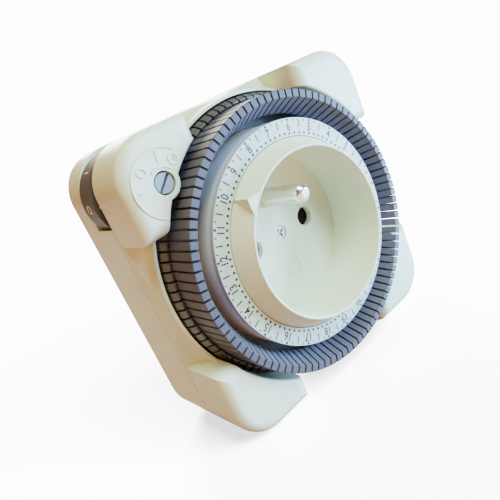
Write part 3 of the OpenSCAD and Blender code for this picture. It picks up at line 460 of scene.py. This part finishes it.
def ink(name, colour):
    """Pad printing: matt, with slightly uneven cover."""
    material = bpy.data.materials.new(name)
    tree, shader = node_tree(material)
    thin, full = (shade(colour, tone) for tone in INK_TONES)
    tree.links.new(mix_colours(tree, noise(tree, *INK_COVER), thin, full),
                   shader.inputs["Base Color"])
    tree.links.new(map_range(tree, noise(tree, *INK_GLOSS), *INK_ROUGHNESS),
                   shader.inputs["Roughness"])
    return material


FINISHES = {
    "housing_white": moulded_plastic("warm_white_plastic", (0.69, 0.72, 0.53), 0.40),
    # The scale's outer edge is painted with the drum's shaded front colour, which is painted shade.
    "scale_white": two_tone(moulded_plastic("scale_plastic", DRUM_SHADED_FRONT, 0.48, 0.03),
                            cloudy((0.50, 0.54, 0.43)), SCALE_EDGE_R),
    "tappet_grey": moulded_plastic("tappet_plastic", (0.078, 0.071, 0.094), 0.55, 0.08, 0.25),
    # The drum inside the dial ring gets the painted-shade drum colour, darker towards its front
    # edge.
    "dial_grey": two_tone(moulded_plastic("dial_plastic", (0.050, 0.042, 0.040), 0.45, 0.08),
                          drum_colour, DRUM_EDGE_R),
    # The shaft's end is painted lighter and bluer than the wheel around it: painted light where the
    # key light falls on it.
    "wheel_grey": two_tone(moulded_plastic("wheel_plastic", (0.085, 0.068, 0.072), 0.55, 0.08, 0.3),
                           cloudy((0.23, 0.27, 0.34)), SHAFT_R, (WHEEL.x, WHEEL.z)),
    "steel": metal("bright_steel", (0.50, 0.50, 0.51), 0.38, (1, 12, 1)),
    "nickel": metal("nickel_plate", (0.78, 0.70, 0.60), 0.20, (1, 0.15, 1)),
    "contact_brass": metal("contact_brass", (0.70, 0.50, 0.22), 0.30, (1, 6, 1)),
    "copper_coil": wound_copper("coil_wire", (0.55, 0.23, 0.10)),
    "rotor_black": moulded_plastic("rotor_ferrite", (0.03, 0.03, 0.035), 0.5, 0.1),
    "gear_white": moulded_plastic("gear_nylon", (0.66, 0.65, 0.60), 0.38, 0.03),
    "inner_grey": moulded_plastic("block_plastic", (0.09, 0.09, 0.10), 0.5, 0.08),
    "shutter_dark": moulded_plastic("shutter_plastic", (0.010, 0.006, 0.005), 0.75, gloss=0.1),
}
PRINT_INK = ink("scale_ink", (0.016, 0.016, 0.020))
WHEEL_INK = ink("wheel_ink", (0.74, 0.70, 0.64))


def dress_nodes():
    """Gives every CAD node the finish of its material slot."""
    for part in frame["record"]["subparts"]:
        obj = frame["nodes"][part["node"]]
        finish = FINISHES[part["material_slot"]]
        if not obj.material_slots:
            obj.data.materials.append(finish)
        for slot in obj.material_slots:
            slot.material = finish


def pressed_spring():
    """The shutter's spring: a copy of the CAD coil, on the housing, with the CAD node hidden."""
    coil = frame["nodes"]["shutter_spring"].data.copy()
    piece = bpy.data.objects.new("pressed_spring", coil)
    bpy.context.scene.collection.objects.link(piece)
    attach(piece, "housing")
    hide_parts("shutter_spring")
    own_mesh(piece)


# ---------------------------------------------------------------- printing on the dial

def dial_print():
    """Hour numbers, hour dots, half-hour strokes and quarter-hour marks of the scale."""
    bm = bmesh.new()
    for quarter in range(HOURS * QUARTERS):
        hour = quarter / QUARTERS
        angle = dial_angle(hour)
        out = (math.cos(angle), math.sin(angle))

        def at(r):
            return face_frame(polar(angle, r), out, SCALE_Y)

        add_slab(bm, disc(INNER_DOT_SIZE), -PRINT_SUNK, PRINT_DEPTH, at(INNER_DOT_R))
        part = quarter % QUARTERS
        if part == 0:
            add_slab(bm, disc(HOUR_DOT_SIZE, HOUR_DOT_SIDES), -PRINT_SUNK, PRINT_DEPTH,
                     at(HOUR_DOT_R))
            number = str(int(hour) or HOURS)
            add_text(bm, number, NUMBER_SIZE, NUMBER_SQUEEZE, PRINT_DEPTH + PRINT_SUNK,
                     at(NUMBER_R))
        else:
            inner, outer = HALF_STROKE if part == QUARTERS / 2 else QUARTER_STROKE
            add_slab(bm, bar(-STROKE_W / 2, inner, STROKE_W / 2, outer), -PRINT_SUNK, PRINT_DEPTH,
                     at(0))
    finish_piece("dial_print", bm, PRINT_INK, "dial")


# ---------------------------------------------------------------- signs of the override switch
RELIEF = 0.18 * MM
RELIEF_SUNK = 0.03 * MM
RELIEF_W = 0.36 * MM
ARC_R = 7.2 * MM
ARC_START, ARC_END = 50, 246
INNER_ARC_R = 3.3 * MM
INNER_ARC_START, INNER_ARC_END = 30, 125
SIGN_R = 5.3 * MM
ON_ANGLE = 82
OFF_ANGLE = 135
CLOCK_ANGLE = 42
TICK_ANGLE = 178
SIGN_H = 2.4 * MM
SIGN_STEPS = 32
OFF_SQUEEZE = 0.8
CLOCK_LONG_HAND = 0.32
CLOCK_SHORT_HAND = 0.25


def sign_place(angle_deg):
    angle = math.radians(angle_deg)
    x, z = polar(angle, SIGN_R)
    return face_frame((WHEEL.x + x, WHEEL.z + z), (math.cos(angle), math.sin(angle)), PAD_Y)


def override_signs():
    """Raised ring, on, off and clock signs round the shaft on the corner pad."""
    bm = bmesh.new()
    centre = face_frame((WHEEL.x, WHEEL.z), (0, 1), PAD_Y)
    half = RELIEF_W / 2
    sign_r = SIGN_H / 2
    arcs = ((ARC_R, ARC_START, ARC_END), (INNER_ARC_R, INNER_ARC_START, INNER_ARC_END))
    for r, start, end in arcs:
        add_ring(bm, r + half, r - half, -RELIEF_SUNK, RELIEF, centre, start, end)
    oval = sign_place(OFF_ANGLE) @ Matrix.Diagonal((OFF_SQUEEZE, 1, 1, 1))
    add_ring(bm, sign_r, sign_r - RELIEF_W, -RELIEF_SUNK, RELIEF, oval, steps=SIGN_STEPS)
    add_slab(bm, bar(-half, -sign_r, half, sign_r), -RELIEF_SUNK, RELIEF, sign_place(ON_ANGLE))
    add_slab(bm, bar(-half, -SIGN_H / 3, half, SIGN_H / 3), -RELIEF_SUNK, RELIEF,
             sign_place(TICK_ANGLE))
    clock = sign_place(CLOCK_ANGLE)
    add_ring(bm, sign_r, sign_r - RELIEF_W, -RELIEF_SUNK, RELIEF, clock, steps=SIGN_STEPS)
    add_slab(bm, bar(-half / 2, 0, half / 2, SIGN_H * CLOCK_LONG_HAND), -RELIEF_SUNK, RELIEF,
             clock)
    add_slab(bm, bar(0, -half / 2, SIGN_H * CLOCK_SHORT_HAND, half / 2), -RELIEF_SUNK, RELIEF,
             clock)
    finish_piece("override_signs", bm, FINISHES["housing_white"], "housing")


WHEEL_MARK_LIFT = 0.02 * MM
WHEEL_MARK_SUNK = 0.1 * MM
WHEEL_MARK_STEPS = 28
RIM_SHARE = 0.9
WHEEL_MARK_H = 2.1 * MM
WHEEL_MARK_W = 0.36 * MM
WHEEL_OFF_ANGLE = 180
WHEEL_ON_ANGLE = 132


def wheel_mark_place(angle_deg):
    """Axes on the wheel's rim: x along the rim, y towards the front, z outwards."""
    angle = math.radians(angle_deg)
    out = Vector((math.cos(angle), 0, math.sin(angle)))
    along = Vector((math.sin(angle), 0, -math.cos(angle)))
    middle = (wheel_rim_low + wheel_rim_high) / 2
    m = Matrix.Identity(4)
    m.col[0].xyz = along
    m.col[1].xyz = Vector((0, -1, 0))
    m.col[2].xyz = out
    m.col[3].xyz = Vector((WHEEL.x, middle, WHEEL.z))
    return m


def on_rim(p):
    """Bends flat work round the rim."""
    angle = p.x / WHEEL_R
    r = WHEEL_R + p.z
    return Vector((r * math.sin(angle), p.y, r * math.cos(angle)))


def rim_span():
    """The front and back of the wheel's rim, from the points that lie near its outer edge."""
    ys = [v.co.y for v in frame["nodes"]["override_wheel"].data.vertices
          if math.hypot(v.co.x - WHEEL.x, v.co.z - WHEEL.z) > WHEEL_R * RIM_SHARE]
    return min(ys), max(ys)


wheel_rim_low, wheel_rim_high = rim_span()


def wheel_marks():
    """The light off and on marks on the rim of the override wheel."""
    bm = bmesh.new()
    low, high = -WHEEL_MARK_SUNK, WHEEL_MARK_LIFT
    add_ring(bm, WHEEL_MARK_H / 2, WHEEL_MARK_H / 2 - WHEEL_MARK_W, low, high,
             wheel_mark_place(WHEEL_OFF_ANGLE), steps=WHEEL_MARK_STEPS, wrap=on_rim)
    add_slab(bm, bar(-WHEEL_MARK_W / 2, -WHEEL_MARK_H / 2, WHEEL_MARK_W / 2, WHEEL_MARK_H / 2),
             low, high, wheel_mark_place(WHEEL_ON_ANGLE), on_rim)
    finish_piece("wheel_marks", bm, WHEEL_INK, "override")


# ---------------------------------------------------------------- stage, light and camera
# The camera was fitted to the photograph: its place and its three axes in the CAD frame.
CAMERA_PLACE = Vector((-73.88, -136.81, 37.61)) * MM
CAMERA_RIGHT = Vector((0.7013331, -0.5983645, -0.3874169))
CAMERA_UP = Vector((0.4901108, 0.0101240, 0.8716014))
CAMERA_BACK = Vector((-0.5176130, -0.8011601, 0.3003652))
FOCAL_PIXELS = 498.71
SENSOR = 36.0
CLIP_NEAR = 0.01
CLIP_FAR = 10


def camera():
    """The camera at the photograph's viewing angle and focal length."""
    data = bpy.data.cameras.new("camera")
    data.sensor_width = SENSOR
    data.lens = FOCAL_PIXELS * SENSOR / IMAGE_SIDE
    data.clip_start = CLIP_NEAR
    data.clip_end = CLIP_FAR
    obj = bpy.data.objects.new("camera", data)
    m = Matrix.Identity(4)
    m.col[0].xyz = CAMERA_RIGHT
    m.col[1].xyz = CAMERA_UP
    m.col[2].xyz = CAMERA_BACK
    m.col[3].xyz = CAMERA_PLACE
    obj.matrix_world = m
    bpy.context.scene.collection.objects.link(obj)
    bpy.context.scene.camera = obj


FLOOR_SIZE = 4.0
FLOOR_STEPS = 8
FLOOR_DROP = 0.2 * MM
FLOOR_CLOUD = (4, 3)
FLOOR_PALE = (0.86, 0.86, 0.86)
FLOOR_LIGHT = (0.9, 0.9, 0.9)
FLOOR_ROUGHNESS = 0.9
FLOOR_GLOSS = 0.1


def floor():
    """A plain pale floor just under the part, which shows only the soft shadow."""
    bm = bmesh.new()
    bmesh.ops.create_grid(bm, x_segments=FLOOR_STEPS, y_segments=FLOOR_STEPS, size=FLOOR_SIZE)
    mesh = bpy.data.meshes.new("floor")
    bm.to_mesh(mesh)
    bm.free()
    obj = bpy.data.objects.new("floor", mesh)
    obj.location = (0, 0, FLOOR_Z - FLOOR_DROP)
    bpy.context.scene.collection.objects.link(obj)
    material = bpy.data.materials.new("floor_paper")
    tree, shader = node_tree(material)
    tree.links.new(mix_colours(tree, noise(tree, *FLOOR_CLOUD), FLOOR_PALE, FLOOR_LIGHT),
                   shader.inputs["Base Color"])
    shader.inputs["Roughness"].default_value = FLOOR_ROUGHNESS
    shader.inputs["Specular IOR Level"].default_value = FLOOR_GLOSS
    mesh.materials.append(material)
    obj.is_shadow_catcher = True
    obj.visible_diffuse = False
    obj.visible_shadow = False


# Name, place, width, power and colour of each soft light, all turned to the middle of the part
LIGHT_TARGET = (0, -0.03, 0)
LIGHTS = (
    ("front_key", (0.25, -0.6, 0.34), 0.3, 9.2, (0.35, 0.70, 1.0)),
    ("front_fill", (-0.2, -0.6, -0.05), 0.4, 0.6, (1.0, 0.43, 0.18)),
    ("top_front", (0.02, -0.35, 0.55), 0.3, 6.1, (0.82, 1.0, 0.64)),
    ("below_front", (0.05, -0.45, -0.45), 0.3, 1.7, (1.0, 0.68, 0.42)),
    ("right_low", (0.5, -0.35, -0.1), 0.3, 22.0, (0.29, 0.58, 1.0)),
    ("left_up", (-0.5, -0.1, 0.25), 0.4, 1.8, (1.0, 0.60, 0.24)),
    ("back_fill", (0.3, 0.6, 0.3), 0.4, 15.0, (1.0, 0.92, 0.80)),
)


def area_light(name, place, size, power, colour):
    """A round soft light that faces the part."""
    data = bpy.data.lights.new(name, "AREA")
    data.shape = "DISK"
    data.size = size
    data.energy = power
    data.color = colour
    obj = bpy.data.objects.new(name, data)
    obj.location = place
    obj.rotation_mode = "QUATERNION"
    aim = Vector(LIGHT_TARGET) - Vector(place)
    obj.rotation_quaternion = aim.to_track_quat("-Z", "Y")
    bpy.context.scene.collection.objects.link(obj)


AMBIENT = (1.0, 0.41, 0.17)
AMBIENT_STRENGTH = 0.25
BACKDROP_STRENGTH = 14.0


def world():
    """A soft pale surround: what the camera sees is white, and what lights the part is dimmer."""
    surround = bpy.data.worlds.new("surround")
    bpy.context.scene.world = surround
    surround.use_nodes = True
    tree = surround.node_tree
    ambient = tree.nodes["Background"]
    ambient.inputs["Color"].default_value = (*AMBIENT, 1)
    ambient.inputs["Strength"].default_value = AMBIENT_STRENGTH
    backdrop = tree.nodes.new("ShaderNodeBackground")
    backdrop.inputs["Color"].default_value = (1, 1, 1, 1)
    backdrop.inputs["Strength"].default_value = BACKDROP_STRENGTH
    path = tree.nodes.new("ShaderNodeLightPath")
    mix = tree.nodes.new("ShaderNodeMixShader")
    tree.links.new(path.outputs["Is Camera Ray"], mix.inputs["Fac"])
    tree.links.new(ambient.outputs["Background"], mix.inputs[1])
    tree.links.new(backdrop.outputs["Background"], mix.inputs[2])
    tree.links.new(mix.outputs["Shader"], tree.nodes["World Output"].inputs["Surface"])


camera()
dress_nodes()
pressed_spring()
dial_print()
override_signs()
wheel_marks()
floor()
world()
for light in LIGHTS:
    area_light(*light)
